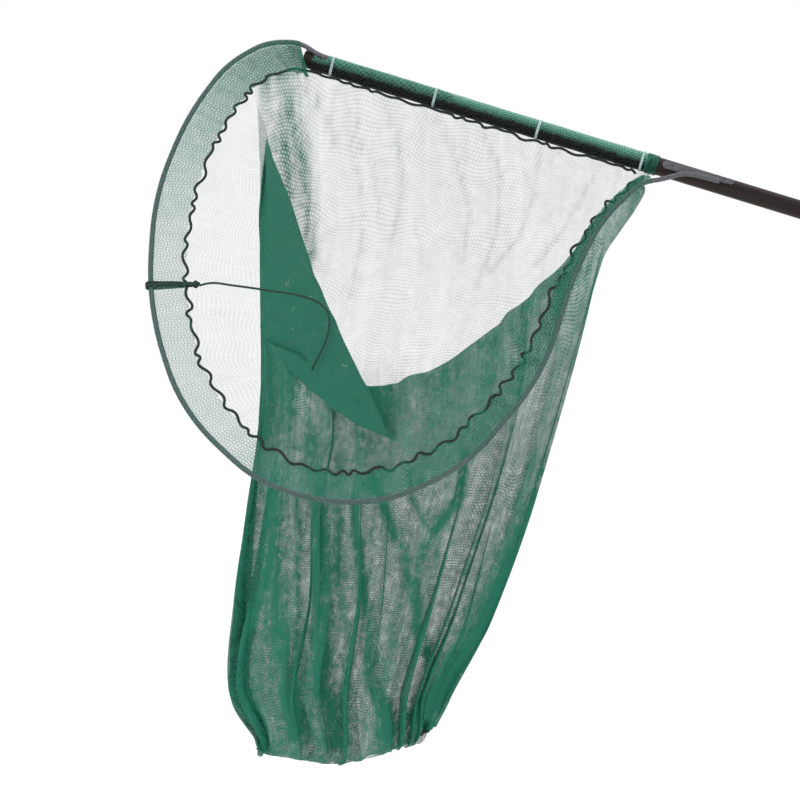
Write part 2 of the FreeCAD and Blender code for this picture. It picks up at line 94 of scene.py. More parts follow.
FLOOR_HEIGHT = -1.0
FLOOR_SIZE = 60
bpy.ops.object.select_all(action="DESELECT")
bpy.ops.mesh.primitive_plane_add(size=FLOOR_SIZE, location=(0, 0, FLOOR_HEIGHT))
studio_floor = bpy.context.object
studio_floor.name = "studio_floor"
# Matt white paper that glows a little, so that its far edge melts into the white air.
paper, _, _ = new_material(
    "lit_white_paper", Base_Color=linear("#F8F8F8"), Roughness=0.95, Emission_Color=linear("#FFFFFF"),
    Emission_Strength=0.12,
)
studio_floor.data.materials.append(paper)

world = bpy.data.worlds.new("studio")
world.use_nodes = True
world.node_tree.nodes["Background"].inputs["Color"].default_value = (1, 1, 1, 1)
world.node_tree.nodes["Background"].inputs["Strength"].default_value = 1.0
scene.world = world
# The lamps point at the middle of the net's mouth.
LAMPS_AIM = Vector((-0.95, -0.15, -0.1))
for lamp_name, place, lamp_size, power in (
    ("key_lamp", (-2.6, -3.2, 2.8), 2.2, 26),
    ("fill_lamp", (1.8, -3.6, 1.2), 2.6, 8),
    ("top_lamp", (-0.8, 0.6, 3.2), 2.4, 26),
):
    lamp_data = bpy.data.lights.new(lamp_name, "AREA")
    lamp_data.size = lamp_size
    lamp_data.energy = power
    lamp = bpy.data.objects.new(lamp_name, lamp_data)
    lamp.location = place
    aim = LAMPS_AIM - lamp.location
    lamp.rotation_euler = aim.to_track_quat("-Z", "Y").to_euler()
    scene.collection.objects.link(lamp)

# ---------- tie cord's free tail
# Dark green twisted nylon twine, 3.5 mm thick. It leaves the knot at the bow, runs across the
# mouth in front of the net, goes over the net's long fold and hangs down behind it.
POLE_SLOPE = math.radians(17.4)
FRONT_END = Vector((-1.2405, 0, 0.38875))
ALONG = Vector((math.cos(POLE_SLOPE), 0, -math.sin(POLE_SLOPE)))
DOWN = Vector((-math.sin(POLE_SLOPE), 0, -math.cos(POLE_SLOPE)))
FORWARD = Vector((0, -1, 0))
BOW_LEAN = math.radians(32)
BOW_HEIGHT = 19
ACROSS = DOWN * math.cos(BOW_LEAN) + FORWARD * math.sin(BOW_LEAN)
TO_BACK = DOWN * math.sin(BOW_LEAN) - FORWARD * math.cos(BOW_LEAN)


def in_net(along, down, forward):
    """A point of the net's own frame, in mm from the pole's front end, as it hangs."""
    return FRONT_END + (ALONG * along + DOWN * down + FORWARD * forward) * MM


def in_bow(along, across, behind_rod=0.0):
    """A point of the bow's plane, in mm from the pole's front end."""
    return FRONT_END + (ALONG * along + ACROSS * across + TO_BACK * (behind_rod - BOW_HEIGHT)) * MM


def new_object(name, data, material):
    """Puts a finished piece into the scene, riding on the net's one body."""
    data.name = name
    made = bpy.data.objects.new(name, data)
    scene.collection.objects.link(made)
    data.materials.append(material)
    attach(made, "root")
    return made


def cord_curve(runs, radius):
    """A round cord whose smooth line has these control points, one spline for each run."""
    curve = bpy.data.curves.new("cord", "CURVE")
    curve.dimensions = "3D"
    curve.bevel_depth = radius
    curve.bevel_resolution = 4
    curve.use_fill_caps = True
    for points in runs:
        spline = curve.splines.new("NURBS")
        spline.points.add(len(points) - 1)
        for control, point in zip(spline.points, points):
            control.co = (*point, 1)
        spline.order_u = 3
        spline.use_endpoint_u = True
        spline.resolution_u = 6
    return curve


def patterned(tree, shader, pattern, low, high, relief, depth, places=(0.0, 1.0)):
    """Colours a surface between two shades by a pattern, and raises it by the same pattern."""
    shade = add_node(tree, "ValToRGB", {"Fac": pattern})
    for element, place, colour in zip(shade.color_ramp.elements, places, (low, high)):
        element.position = place
        element.color = linear(colour)
    tree.links.new(shade.outputs["Color"], shader.inputs["Base Color"])
    bump = add_node(tree, "Bump", {"Height": pattern}, Strength=relief, Distance=depth)
    tree.links.new(bump.outputs["Normal"], shader.inputs["Normal"])
    return bump


# Twisted nylon is nearly matt, and its strands, about 1.2 mm wide, ripple it. The ripple's light and
# dark is painted light and shade: raised parts lighter, low parts darker.
STRAND_WIDTH = 0.0012
twine, tree, shader = new_material("twisted_green_twine", Roughness=0.7)
where = add_node(tree, "TexCoord").outputs["Object"]
strands = add_node(tree, "TexNoise", {"Vector": where}, Scale=1 / STRAND_WIDTH, Detail=2.0)
patterned(tree, shader, strands.outputs["Fac"], "#031913", "#0F3F33", relief=0.6, depth=0.0006)

TWINE_RADIUS = 1.75 * MM
KNOT_PLACE = Vector((-1.3786, -0.2798, 0.0004))
# The tail's points, in mm from the knot's middle.
TAIL_ROUTE = (
    (5.6, 0.3, -2.0), (21, 4, 4), (52, 10, -1), (84, 20, -5), (117, 32, -10), (149, 44, -14),
    (176, 57, -21), (196, 63, -32), (205, 68, -50), (203, 73, -72), (195, 77, -95), (184, 80, -116),
    (174, 81, -135),
)
tail_points = [KNOT_PLACE + Vector(point) * MM for point in TAIL_ROUTE]
tail = new_object("tie_cord_free_tail", cord_curve([tail_points], TWINE_RADIUS), twine)
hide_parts("tie_cord_tail")

# ---------- pole
# A turned hardwood pole, stained almost black and lacquered to a satin finish. The grain runs
# along it, and shows as fine brown streaks where the stain took less.

# Dark stained wood looks even from afar. Its bands of grain are about 5 mm wide and 120 mm long.
GRAIN_WIDTH = 0.0048
GRAIN_LENGTH = 0.12
wood, tree, shader = new_material("dark_stained_wood", Roughness=0.45, Specular_IOR_Level=0.22)
where = add_node(tree, "TexCoord").outputs["Object"]
turned = add_node(tree, "Mapping", {"Vector": where}, Rotation=(0, -POLE_SLOPE, 0))
stretched = add_node(
    tree, "Mapping", {"Vector": turned.outputs["Vector"]},
    Scale=(1 / GRAIN_LENGTH, 1 / GRAIN_WIDTH, 1 / GRAIN_WIDTH),
)
grain = add_node(
    tree, "TexNoise", {"Vector": stretched.outputs["Vector"]}, Scale=1.0, Detail=5.0,
    Roughness=0.65,
)
patterned(
    tree, shader, grain.outputs["Fac"], "#0D0908", "#2A1A16", relief=0.25, depth=0.0004,
    places=(0.32, 0.72),
)


def repaint(node, material):
    """Gives a CAD node its finish."""
    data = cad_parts[node].data
    data.materials.clear()
    data.materials.append(material)


repaint("handle_pole", wood)

# ---------- bow rod, tang plate and its fixings
# Drawn steel rod, dull zinc with a little handling wear. The flat tang is welded to the rod and
# held to the pole by two countersunk wood screws.

# Zinc on drawn steel is grey and half dull, with crystals and handling marks about 4 mm across.
MARK_SIZE = 0.004
steel, tree, shader = new_material("dull_zinc_steel", Metallic=0.9, Roughness=0.45)
where = add_node(tree, "TexCoord").outputs["Object"]
marks = add_node(
    tree, "TexNoise", {"Vector": where}, Scale=1 / MARK_SIZE, Detail=6.0, Roughness=0.7
)
patterned(
    tree, shader, marks.outputs["Fac"], "#4C4E52", "#6A6B70", relief=0.2, depth=0.0003, places=(0.3, 0.75)
)
wear = add_node(tree, "MapRange", {"Value": marks.outputs["Fac"]})
wear.inputs["To Min"].default_value = 0.32
wear.inputs["To Max"].default_value = 0.55
tree.links.new(wear.outputs["Result"], shader.inputs["Roughness"])
for node in ("bow_rod", "tang_weld", "tang_screws"):
    repaint(node, steel)


def eased_copy(node, name, width, material):
    """Replaces a CAD node by a copy with its doubles merged and its edges broken by this width."""
    bpy.ops.object.select_all(action="DESELECT")
    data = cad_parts[node].data.copy()
    data.materials.clear()
    made = new_object(name, data, material)
    made.select_set(True)
    bpy.context.view_layer.objects.active = made
    bpy.ops.object.mode_set(mode="EDIT")
    bpy.ops.mesh.select_all(action="SELECT")
    bpy.ops.mesh.remove_doubles(threshold=1e-6)
    bpy.ops.mesh.dissolve_limited(angle_limit=math.radians(1))
    bpy.ops.object.mode_set(mode="OBJECT")
    bevel = made.modifiers.new("eased_edges", "BEVEL")
    bevel.width = width
    bevel.segments = 3
    bevel.limit_method = "ANGLE"
    bpy.ops.object.modifier_apply(modifier="eased_edges")
    made.data.shade_smooth()
    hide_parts(node)


PLATE_EDGE = 0.4 * MM
eased_copy("tang_plate", "tang_plate_pressed", PLATE_EDGE, steel)

# ---------- net fabric
# Knotless raschel net of fine green nylon, knitted in rows, each row half a hole over. Where it
# is stretched it is open and clear, and its thread is painted pale, as light spilling round it.
# Where it is gathered its holes close, and it is painted a fuller green, partly as shade between
# its layers.

# Its holes are about 5 by 3 mm, and are drawn 5.2 by 4 mm here so that their rows show.
NET_HOLE = (0.0052, 0.0040)
# How sharp a hole's edge is, and how strongly holes show: at no cover, by how much more at full
# cover, and at most.
HOLE_EDGE = 2.4
HOLE_CONTRAST = 0.22
CONTRAST_RISE = 0.38
MOST_CONTRAST = 0.95
# Uneven knitting: patches, and marks as their width and length, turn, amount, detail, roughness
# and distortion. UNEVEN_MEAN is the mean of it all, which is taken off.
PATCH_SIZE = 0.03
PATCHES_BY = 1.8
KNIT_MARKS = (
    # Streaks along the wales.
    (0.006, 0.12, 0.0, 1.0, 2.0, 0.5, 0.0),
    # Short dashes where the loops lie closer.
    (0.014, 0.016, 0.0, 2.6, 4.0, 0.7, 0.0),
    # Creases from years of use, down the net.
    (0.03, 0.4, 0.12, 2.0, 3.0, 0.5, 0.8),
)
UNEVEN_MEAN = 3.7
# Sharp little wrinkles wander over the net, and their lines are drawn denser and darker, partly as
# thread lying closer and partly as painted shade in the wrinkles.
WRINKLE_GAP = 0.07
WRINKLE_SHARPNESS = 14.0


def net_material(
    name, pale, mid, deep, slant=0.0, hole=NET_HOLE, uneven_by=0.5, contrast=HOLE_CONTRAST,
    wrinkle_shade_by=0.0, stops=(0.18, 0.42, 0.8),
):
    """The net in three shades, by its "cover" attribute: how much of it is thread, from 0 to 1, and
    over 1 where layers lie together. The pale shade is painted light spilling round single threads,
    and the fuller ones are partly painted shade between layers. Slant turns its rows on the piece."""
    material, tree, shader = new_material(name, Roughness=0.75, Specular_IOR_Level=0.25)

    def sums(operation, *values, clamp=False):
        """One step of sums between sockets or plain numbers."""
        made = add_node(tree, "Math", operation=operation, use_clamp=clamp)
        for place, value in enumerate(values):
            if isinstance(value, (int, float)):
                made.inputs[place].default_value = value
            else:
                tree.links.new(value, made.inputs[place])
        return made.outputs[0]

    where = add_node(tree, "TexCoord")
    on_net, in_air = where.outputs["UV"], where.outputs["Object"]
    cover = add_node(tree, "Attribute", attribute_name="cover").outputs["Fac"]
    turned = add_node(tree, "Mapping", {"Vector": on_net}, Rotation=(0, 0, slant))
    patches = add_node(
        tree, "TexNoise", {"Vector": in_air}, Scale=1 / PATCH_SIZE, Detail=3.0, Distortion=1.2
    )
    uneven = sums("MULTIPLY", patches.outputs["Fac"], PATCHES_BY)
    for width, length, turn, amount, detail, roughness, distortion in KNIT_MARKS:
        laid = add_node(
            tree, "Mapping", {"Vector": on_net}, Scale=(1 / width, 1 / length, 1),
            Rotation=(0, 0, turn),
        )
        marks = add_node(
            tree, "TexNoise", {"Vector": laid.outputs["Vector"]}, Scale=1.0, Detail=detail,
            Roughness=roughness, Distortion=distortion,
        )
        marked = sums("MULTIPLY", marks.outputs["Fac"], amount)
        uneven = sums("ADD", uneven, marked)
    uneven = sums("SUBTRACT", uneven, UNEVEN_MEAN)
    share = sums("ADD", sums("MULTIPLY", uneven, uneven_by), 1.0)
    folds = add_node(
        tree, "TexNoise", {"Vector": in_air}, Scale=1 / WRINKLE_GAP, Detail=2.0, Distortion=2.2
    )
    ridge = sums("ABSOLUTE", sums("SUBTRACT", folds.outputs["Fac"], 0.5))
    ridge = sums("MULTIPLY", ridge, WRINKLE_SHARPNESS)
    ridge = sums("SUBTRACT", 1.0, ridge, clamp=True)
    # Wrinkle lines add cover: painted shade in the wrinkles, and thread lying closer.
    share = sums("ADD", share, sums("MULTIPLY", ridge, wrinkle_shade_by))
    share = sums("MULTIPLY", share, cover)
    place = add_node(tree, "SeparateXYZ", {"Vector": turned.outputs["Vector"]})
    column = sums("DIVIDE", place.outputs["X"], hole[0])
    row = sums("DIVIDE", place.outputs["Y"], hole[1])
    every_other = sums("FLOORED_MODULO", sums("FLOOR", row), 2.0)
    column = sums("ADD", column, sums("MULTIPLY", every_other, 0.5))
    across_hole = sums("SUBTRACT", sums("FRACT", column), 0.5)
    down_hole = sums("SUBTRACT", sums("FRACT", row), 0.5)
    reach = sums("ADD", sums("POWER", across_hole, 2.0), sums("POWER", down_hole, 2.0))
    open_reach = sums("DIVIDE", sums("SUBTRACT", 1.0, share), math.pi)
    past_edge = sums("MULTIPLY", sums("SUBTRACT", reach, open_reach), HOLE_EDGE)
    knitted = sums("ADD", past_edge, 0.5, clamp=True)
    # Light that spills round the fine threads evens the rows out, most where the net is single.
    shown = sums("MULTIPLY_ADD", share, CONTRAST_RISE, contrast)
    shown = sums("MINIMUM", shown, MOST_CONTRAST)
    knitted = sums("MULTIPLY", knitted, shown)
    spread = sums("MULTIPLY", share, sums("SUBTRACT", 1.0, shown))
    thread = sums("ADD", knitted, spread, clamp=True)
    tree.links.new(thread, shader.inputs["Alpha"])
    # Thread colour by cover: painted paler where the net is open, as light spilling round it, and fuller
    # where gathered, partly as shade.
    spill_and_shade_ramp = add_node(tree, "ValToRGB", {"Fac": share})
    spill_and_shade_ramp.color_ramp.elements.new(stops[1])
    for element, stop, colour in zip(spill_and_shade_ramp.color_ramp.elements, stops, (pale, mid, deep)):
        element.position = stop
        element.color = linear(colour)
    tree.links.new(spill_and_shade_ramp.outputs["Color"], shader.inputs["Base Color"])
    return material


def sheet_mesh(grid, closed=False):
    """A net from a grid of (point, UV in metres, cover), by row and column. The last column of a
    closed one is its first again, and only gives its seam's UVs."""
    columns = len(grid[0]) - closed
    faces = []
    corners = []
    for j in range(len(grid) - 1):
        for i in range(len(grid[0]) - 1):
            after = (i + 1) % columns
            row, below = j * columns, (j + 1) * columns
            faces.append((row + i, row + after, below + after, below + i))
            corners += [grid[j][i], grid[j][i + 1], grid[j + 1][i + 1], grid[j + 1][i]]
    knots = [knot for line in grid for knot in line[:columns]]
    data = bpy.data.meshes.new("net")
    data.from_pydata([tuple(point) for point, _, _ in knots], [], faces)
    layer = data.uv_layers.new(name="UVMap")
    layer.data.foreach_set("uv", [float(number) for _, uv, _ in corners for number in uv])
    share = data.attributes.new("cover", "FLOAT", "POINT")
    share.data.foreach_set("value", [float(cover) for _, _, cover in knots])
    data.shade_smooth()
    return data


# ---------- casing on the bow
# The net's border is folded over the rod, so it is two layers from the lacing to the rod and
# round it. It is wide and flat at the front and bunches up towards the rear. The lacing pulls
# its inner edge into small scallops.

# It is a looser knit than the bag, askew, with holes drawn 6.4 by 4.6 mm.
net_border = net_material(
    "border_net", "#4C7D71", "#1B725B", "#125542", slant=math.radians(24), hole=(0.0064, 0.0046),
    uneven_by=0.3, contrast=0.5,
)
# The rod's corners in the bow's plane, in mm, and the border's width at each cased one.
BOW_CORNERS = (
    (25, 0), (-12, -15), (-65, 5), (-112, 72), (-137, 193), (-135, 359), (-73, 563),
    (41, 725), (187, 801), (289, 803), (385, 768), (481, 669), (551, 468), (544, 281),
    (558, 150), (601, 54), (632, 37), (663, 10),
)
ROD_START = (249.7, 0)
ROD_END = (722, 7)
FIRST_BORDER_CORNER = 2
BORDER_WIDTHS = (57, 57, 57, 56, 54, 52, 50, 50, 48, 45, 34, 18, 12, 11)
BEND_SHARE = 0.49
ARC_STEPS = 8
CASING_RADIUS = 4.7


def bent_line(corners, bend_share=BEND_SHARE):
    """A flat line of straight runs joined by tangent arcs, as points."""
    line = [corners[0]]
    for before, corner, after in zip(corners, corners[1:], corners[2:]):
        back = (before - corner).normalized()
        ahead = (after - corner).normalized()
        turn = math.pi - back.angle(ahead)
        reach = bend_share * min((before - corner).length, (after - corner).length)
        start = corner + back * reach
        end = corner + ahead * reach
        centre = corner + (back + ahead).normalized() * math.hypot(reach / math.tan(turn / 2), reach)
        for step in range(ARC_STEPS + 1):
            share = step / ARC_STEPS
            from_start = math.sin((1 - share) * turn) / math.sin(turn)
            from_end = math.sin(share * turn) / math.sin(turn)
            line.append(centre + (start - centre) * from_start + (end - centre) * from_end)
    line.append(corners[-1])
    return line


class Line:
    """A flat line with places counted along it in mm."""

    def __init__(self, points):
        self.points = np.array([tuple(point) for point in points])
        steps = np.linalg.norm(np.diff(self.points, axis=0), axis=1)
        self.places = np.concatenate([[0], np.cumsum(steps)])
        self.length = self.places[-1]

    def at(self, place):
        return Vector([np.interp(place, self.places, self.points[:, axis]) for axis in (0, 1)])

    def inward(self, place, reach=4.0):
        ahead = (self.at(place + reach) - self.at(place - reach)).normalized()
        return Vector((ahead.y, -ahead.x))


bow_corners = [Vector(ROD_START)] + [Vector(corner) for corner in BOW_CORNERS] + [Vector(ROD_END)]
bow_line = bent_line(bow_corners)
arc_points = ARC_STEPS + 1
CASING_EARLY = 4
cased_from = FIRST_BORDER_CORNER * arc_points - CASING_EARLY
cased_to = (FIRST_BORDER_CORNER + len(BORDER_WIDTHS)) * arc_points
cased = Line(bow_line[cased_from:cased_to + 1])
first_width = CASING_EARLY + 1 + ARC_STEPS // 2
width_places = [cased.places[first_width + arc_points * number] for number in range(len(BORDER_WIDTHS))]


def border_width(place):
    """The border's width from the rod's middle at a place along the cased rod."""
    return float(np.interp(place, width_places, BORDER_WIDTHS))


chance = random.Random(7)
CASING_COLUMNS = 460
ROUND_ROD = 8
FLAT_STEPS = 9
FLAT_START = CASING_RADIUS * 0.55
ROD_OPENING = 55
NEAR_END = 6
# The lacing's stitches, how far they pull the edge in, and how wide a border gives way fully.
STITCH_PITCH = 21.0
SCALLOP = 1.6
GIVING_WIDTH = 40
# How far the border passes the lacing, and how much further at its front end.
PAST_LACING = 2.5
WIDER_FRONT = 6.0
WIDER_RUN = 190
# Its front end is cut askew.
FRONT_SLANT = 26.0
SLANT_RUN = 110.0
RUFFLE = 0.75
ROUND_COVER = 0.24
BORDER_COVERS = (
    (0, 0.9), (0.02, 0.62), (0.08, 0.46), (0.16, 0.30), (0.26, 0.20), (0.45, 0.17), (0.55, 0.36),
    (0.75, 0.55), (1, 0.7),
)
crumple = [
    (chance.uniform(0.004, 0.03), chance.uniform(0, 6.28), chance.uniform(-0.05, 0.05)) for _ in range(7)
]
grid = []
for column in range(CASING_COLUMNS + 1):
    place = cased.length * column / CASING_COLUMNS
    middle = cased.at(place)
    inward = cased.inward(min(max(place, NEAR_END), cased.length - NEAR_END))
    ahead = Vector((-inward.y, inward.x))
    width = border_width(place)
    bunched = float(np.interp(place / cased.length, *zip(*BORDER_COVERS)))
    pulled = SCALLOP * (1 + math.cos(2 * math.pi * place / STITCH_PITCH)) * min(1, width / GIVING_WIDTH)
    flat_end = width + PAST_LACING + WIDER_FRONT * max(0.0, 1 - place / WIDER_RUN) - pulled
    section = []
    for step in range(FLAT_STEPS):
        section.append((flat_end + (FLAT_START - flat_end) * step / FLAT_STEPS, -1))
    for step in range(ROUND_ROD + 1):
        angle = math.radians(ROD_OPENING + (360 - 2 * ROD_OPENING) * step / ROUND_ROD)
        section.append((CASING_RADIUS * math.cos(angle), -CASING_RADIUS * math.sin(angle)))
    for step in range(1, FLAT_STEPS + 1):
        section.append((FLAT_START + (flat_end - FLAT_START) * step / FLAT_STEPS, 1))
    grid.append([])
    travelled = 0.0
    last_spot = section[0]
    for inner, side in section:
        travelled += math.dist((inner, side), last_spot)
        last_spot = (inner, side)
        off_rod = max(0.0, inner - CASING_RADIUS) / 50
        height = side
        if abs(side) == 1:
            height = side * (1.0 + 1.6 * (1 - min(1, off_rod * 1.1)))
            turns = [place * pitch * 6.28 + phase + inner * skew for pitch, phase, skew in crumple]
            wavy = sum(math.sin(turn) for turn in turns)
            height += RUFFLE * wavy * min(1, off_rod * 1.6)
        slant = FRONT_SLANT * max(0.0, 1 - place / SLANT_RUN) * max(0.0, inner) / width
        spot = middle + inward * inner - ahead * slant
        cover = max(ROUND_COVER, bunched * 0.5) if abs(side) != 1 else bunched
        grid[-1].append((in_bow(spot.x, spot.y, height), (place * MM, travelled * MM), cover))
casing = new_object("bow_casing_net", sheet_mesh(grid), net_border)
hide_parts("bow_casing")

# ---------- sleeve on the pole
# The same net wrapped round the pole and over the rod's leg and drawn tight. Its rows lie askew.
# Its top is painted pale, as lit, and the rest is denser and painted dark, as shade. Its rear edge
# is doubled.
POLE_RADIUS = 15.0
SLEEVE_RADIUS = 15.9
# Where the rod's leg lies under the sleeve, and how gently the sleeve climbs on to it and comes off.
ROD_RADIUS = 4.0
ROD_GAP = 0.2
LEG_RADIUS = 4.8
LEG_COVER = (30.0, 262.0)
LEG_RISE = 14
LEG_FALL = 12
SLEEVE_START = 14.0
SLEEVE_END = 617.0
SLEEVE_SAG = 0.35
HEM_LAP = 8
HEM_WIDTH = 20
SLEEVE_COLUMNS = 240
ROUND_STEPS = 44


def wrapped_radius(angle, radius, leg_share):
    """How far the wrapped net stands from the pole's middle, at an angle from the rod's leg."""
    if leg_share <= 0:
        return radius
    reach = POLE_RADIUS + ROD_RADIUS + ROD_GAP
    lean_in = math.asin((radius - LEG_RADIUS) / reach)
    touch = math.pi / 2 - lean_in
    if abs(angle) >= touch:
        return radius
    to_flat = radius / math.cos(abs(angle) - touch)
    inside = LEG_RADIUS ** 2 - (reach * math.sin(angle)) ** 2
    to_leg = reach * math.cos(angle) + math.sqrt(inside) if inside > 0 else 0.0
    leg_touch = math.atan2(LEG_RADIUS * math.cos(lean_in), reach + LEG_RADIUS * math.sin(lean_in))
    over_leg = to_leg if abs(angle) < leg_touch else to_flat
    return radius + (over_leg - radius) * leg_share


def sleeve_grid(start, end, radius, columns, ragged, lit_top_cover, shaded_underside_cover):
    """A wrapped net from one place along the pole to another."""
    grid = []
    for column in range(columns + 1):
        grid.append([])
        for step in range(ROUND_STEPS + 1):
            turn = 2 * math.pi * step / ROUND_STEPS
            front = start + ragged * (math.sin(3 * turn + 1) + 0.6 * math.sin(7 * turn))
            place = front + (end - front) * column / columns
            leg_share = min(1, max(0, (place - LEG_COVER[0]) / LEG_RISE))
            leg_share *= min(1, max(0, (LEG_COVER[1] - place) / LEG_FALL))
            from_leg = math.atan2(math.sin(turn), math.cos(turn))
            stand = wrapped_radius(from_leg, radius, leg_share)
            puffed = (1 + math.sin(place / 9 + 4 * turn)) * (1 + math.sin(place / 23 - 2 * turn))
            stand += SLEEVE_SAG * puffed / 2
            leg_way = FORWARD * math.cos(BOW_LEAN) - DOWN * math.sin(BOW_LEAN)
            side_way = ALONG.cross(leg_way)
            spot = FRONT_END + ALONG * place * MM
            spot += (leg_way * math.cos(from_leg) + side_way * math.sin(from_leg)) * stand * MM
            # Which way the net faces: its top gets painted light, and its underside painted shade.
            up = -(leg_way * math.cos(from_leg) + side_way * math.sin(from_leg)).dot(DOWN)
            share = min(1, max(0, (up + 0.45) / 1.4)) ** 1.2
            cover = shaded_underside_cover + (lit_top_cover - shaded_underside_cover) * share
            grid[-1].append((spot, (place * MM, turn * radius * MM), cover))
    return grid


# Stretched over the pole, the net is painted pale on top, as lit, and dark below, as shade, where
# the dark wood also shows through it.
wrapped_net = net_material(
    "wrapped_sleeve_net", "#A9DCC9", "#5E9F8A", "#0A1412", slant=math.radians(38), hole=(0.0060, 0.0046),
    uneven_by=0.05, contrast=0.6, stops=(0.5, 0.68, 0.9),
)
grid = sleeve_grid(
    SLEEVE_START, SLEEVE_END - HEM_LAP, SLEEVE_RADIUS, SLEEVE_COLUMNS, ragged=2.5, lit_top_cover=0.56,
    shaded_underside_cover=0.95,
)
sleeve = new_object("pole_sleeve_net", sheet_mesh(grid), wrapped_net)
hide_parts("pole_sleeve")

# Doubled, the net is a fuller green. Like the sleeve, its top is painted paler, as lit, and its
# underside darker, as shade.
hem_net = net_material("doubled_hem_net", "#6FB89F", "#2F8A6F", "#0F3C30", slant=math.radians(38))
grid = sleeve_grid(
    SLEEVE_END - HEM_WIDTH, SLEEVE_END, SLEEVE_RADIUS + 0.9, columns=16, ragged=0.8, lit_top_cover=0.62,
    shaded_underside_cover=0.85,
)
hem = new_object("sleeve_hem_net", sheet_mesh(grid), hem_net)
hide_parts("sleeve_hem")

# ---------- cable ties
# Four moulded nylon ties, milky and half clear, pulled tight over the sleeve. The teeth inside
# each strap show through as fine bars across it.
TEETH_PITCH = 0.0023675
nylon, tree, shader = new_material(
    "milky_moulded_nylon", Base_Color=linear("#C3D4CE"), Roughness=0.35, Subsurface_Weight=0.25, Alpha=0.7
)
where = add_node(tree, "TexCoord").outputs["Object"]
turned = add_node(tree, "Mapping", {"Vector": where}, Rotation=(0, -POLE_SLOPE, 0))
teeth = add_node(
    tree, "TexWave", {"Vector": turned.outputs["Vector"]}, Scale=math.pi / 10 / TEETH_PITCH,
    bands_direction="Z",
)
bump = add_node(tree, "Bump", {"Height": teeth.outputs["Fac"]}, Strength=0.3, Distance=0.0002)
tree.links.new(bump.outputs["Normal"], shader.inputs["Normal"])
for number in range(1, 5):
    repaint(f"cable_tie_{number}", nylon)

# ---------- lacing cord
# One thick soft cord of very dark green, laced over and under through the border's edge all the
# way round the mouth, and under the sleeve along the pole. It waves between its stitches.

# A soft braid has no shine, and its plaits, about 1.6 mm long, dimple it. The grooves between them
# are painted darker, as shade.
PLAIT_LENGTH = 0.0016
lacing_cord, tree, shader = new_material("dark_braided_lacing", Roughness=0.8)
where = add_node(tree, "TexCoord").outputs["Object"]
plaits = add_node(tree, "TexVoronoi", {"Vector": where}, Scale=1 / PLAIT_LENGTH)
patterned(
    tree, shader, plaits.outputs["Distance"], "#0A2A25", "#020B0A", relief=0.7, depth=0.0005
).invert = True

LACING_RADIUS = 2.25
LACING_STEP = 10.5
EDGE_PAST_FRONT = 28
# The lacing along the pole is this far below the pole's axis, and forward of it.
BELOW_POLE = 16.6
BEFORE_POLE = 10.6
inner_corners = []
for number, width in enumerate(BORDER_WIDTHS, start=FIRST_BORDER_CORNER + 1):
    before, corner, after = bow_corners[number - 1:number + 2]
    way_in = (corner - before).normalized()
    way_out = (after - corner).normalized()
    ahead = (way_in + way_out).normalized()
    square = Vector((ahead.y, -ahead.x))
    inner_corners.append(corner + square * width / math.cos(way_in.angle(way_out) / 2))
forward_run = (bow_corners[2] - bow_corners[3]).normalized()
inner_corners.insert(0, inner_corners[0] + forward_run * EDGE_PAST_FRONT)
mouth_edge = Line(bent_line(inner_corners))

chance = random.Random(19)
lace_points = []
stitch = 0
place = 4.0
while place < mouth_edge.length - 8:
    inward = mouth_edge.inward(min(max(place, NEAR_END), mouth_edge.length - NEAR_END))
    swing = chance.uniform(4.0, 13.0) if stitch % 2 else chance.uniform(-10.0, -2.0)
    spot = mouth_edge.at(place) + inward * swing
    lace_points.append(in_bow(spot.x, spot.y, 0.6 * (-1) ** (stitch // 2) + chance.uniform(-0.8, 0.8)))
    place += LACING_STEP * chance.choice((0.8, 1.2, 1.6, 2.2, 2.8))
    stitch += 1
lace_points.reverse()
place = 8.0
while place < SLEEVE_END - 12:
    slack = 6.0 + 7.0 * place / SLEEVE_END
    off_sleeve = chance.uniform(2.5, slack) if stitch % 2 else chance.uniform(0, 1.5)
    lace_points.append(in_net(place, BELOW_POLE + off_sleeve, BEFORE_POLE + chance.uniform(-0.5, 1.5)))
    place += LACING_STEP * chance.choice((0.7, 1.1, 1.6, 2.2))
    stitch += 1
lacing_line = cord_curve([lace_points], LACING_RADIUS * MM)
lacing = new_object("mouth_lacing", lacing_line, lacing_cord)
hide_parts("lacing_cord")

# ---------- tie cord loop and knot
# The same green twine goes twice round the cased rod, over and under the border, and is tied in
# a small hard knot just inside the lacing. The free tail starts at that knot.
TURN_GAP = 2.1
KNOT_STEPS = 36
knot_from_front = KNOT_PLACE - FRONT_END
knot_spot = Vector((knot_from_front.dot(ALONG), knot_from_front.dot(ACROSS))) / MM
steps = np.linalg.norm(cased.points - np.array(tuple(knot_spot)), axis=1)
loop_place = cased.places[int(np.argmin(steps))]
near_places = np.arange(loop_place - 40, loop_place + 40, 1.0)
loop_place = float(min(near_places, key=lambda near: (cased.at(near) - knot_spot).length))
loop_middle = cased.at(loop_place)
loop_inward = (knot_spot - loop_middle).normalized()
loop_along = Vector((-loop_inward.y, loop_inward.x))
loop_reach = (knot_spot - loop_middle).length
runs = []
for side in (-1, 1):
    runs.append([])
    for reach, height in (
        (loop_reach - 1, -2.5), (loop_reach * 0.6, -4.2), (12, -6.0), (0, -7.4), (-7.0, -6.4), (-8.0, 0),
        (-7.0, 6.4), (0, 7.4), (12, 6.0), (loop_reach * 0.6, 4.2), (loop_reach - 1, 2.5),
    ):
        offset = side * TURN_GAP * (1.0 if abs(reach) < loop_reach * 0.8 else 0.4)
        spot = loop_middle + loop_inward * reach + loop_along * offset
        runs[-1].append(in_bow(spot.x, spot.y, height))
loop = new_object("tie_cord_turns", cord_curve(runs, TWINE_RADIUS), twine)
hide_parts("tie_cord_loop")

